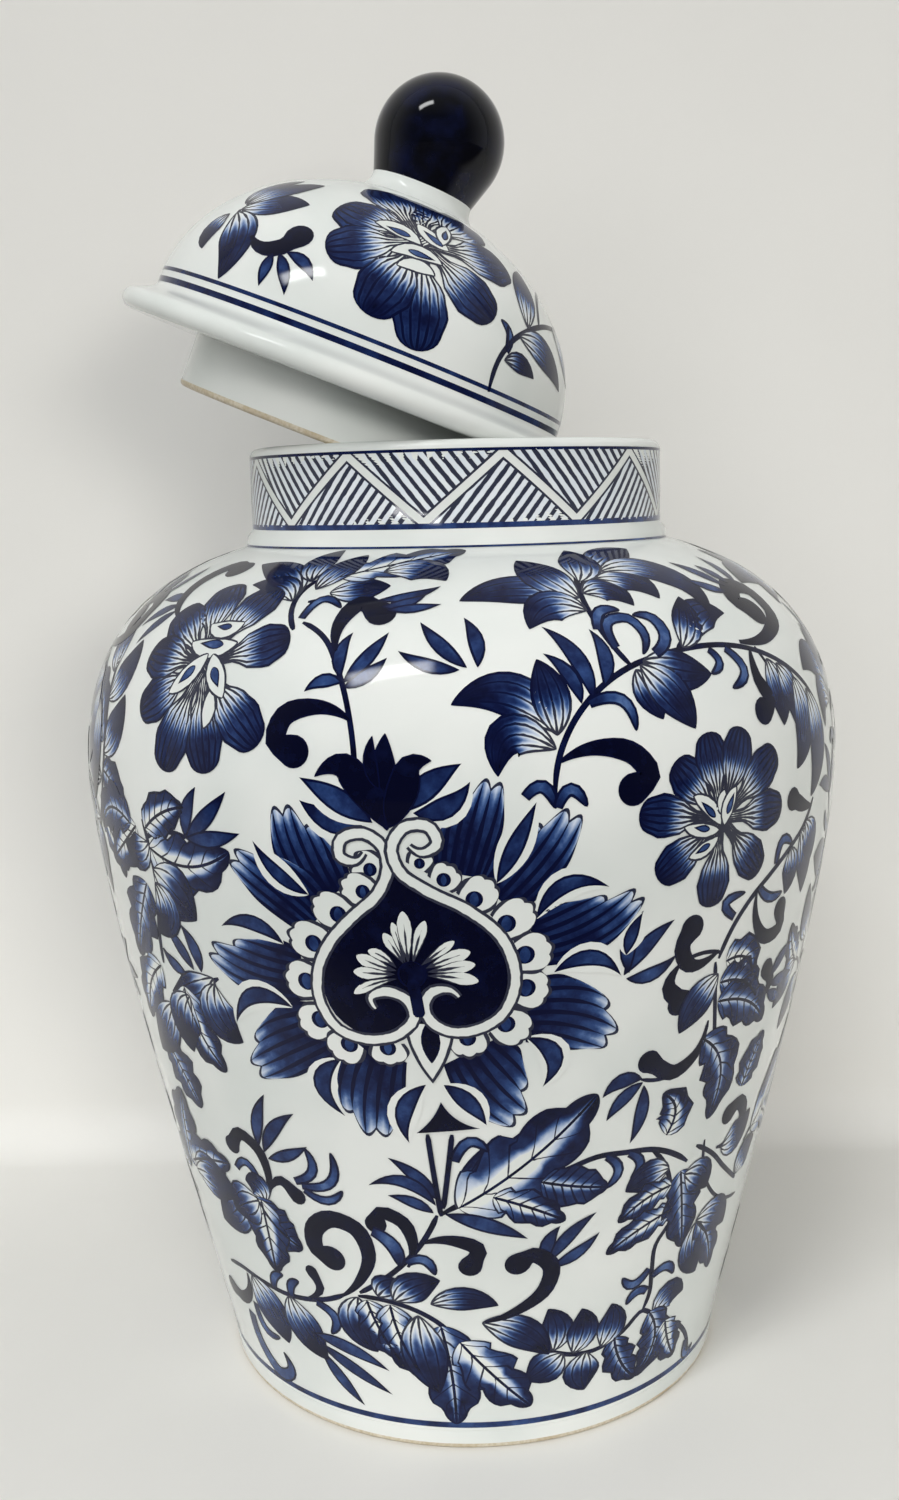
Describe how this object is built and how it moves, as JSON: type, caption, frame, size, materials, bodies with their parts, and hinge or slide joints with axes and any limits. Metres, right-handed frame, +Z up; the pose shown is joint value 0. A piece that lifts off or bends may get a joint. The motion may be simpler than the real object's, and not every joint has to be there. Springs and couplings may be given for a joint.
{
  "type": "ginger jar",
  "caption": "Round-shouldered glazed porcelain jar with an upright neck, and a loose domed lid with a round knob that leans across the mouth.",
  "frame": {"origin": "centre of the foot on the surface that the jar stands on", "axes": "+Z up along the jar's axis, +X to the side that the leaning lid points down to, -Y the front"},
  "size_m": [0.184, 0.184, 0.3141],
  "materials": {
    "white_glaze": "high gloss, painted in cobalt blue",
    "blue_glaze": "high gloss, nearly black blue",
    "biscuit": "matt, unglazed"
  },
  "bodies": {
    "jar": {"jar_body": "white_glaze", "neck_ring": "white_glaze", "foot_ring": "biscuit"},
    "lid": {"lid_dome": "white_glaze", "lid_flange": "white_glaze", "lid_knob": "blue_glaze"}
  },
  "joints": [
    {"name": "lid_lift", "type": "slide", "parent": "jar", "child": "lid", "axis": [0, 0, 1], "range_m": [0, 0.15]}
  ]
}
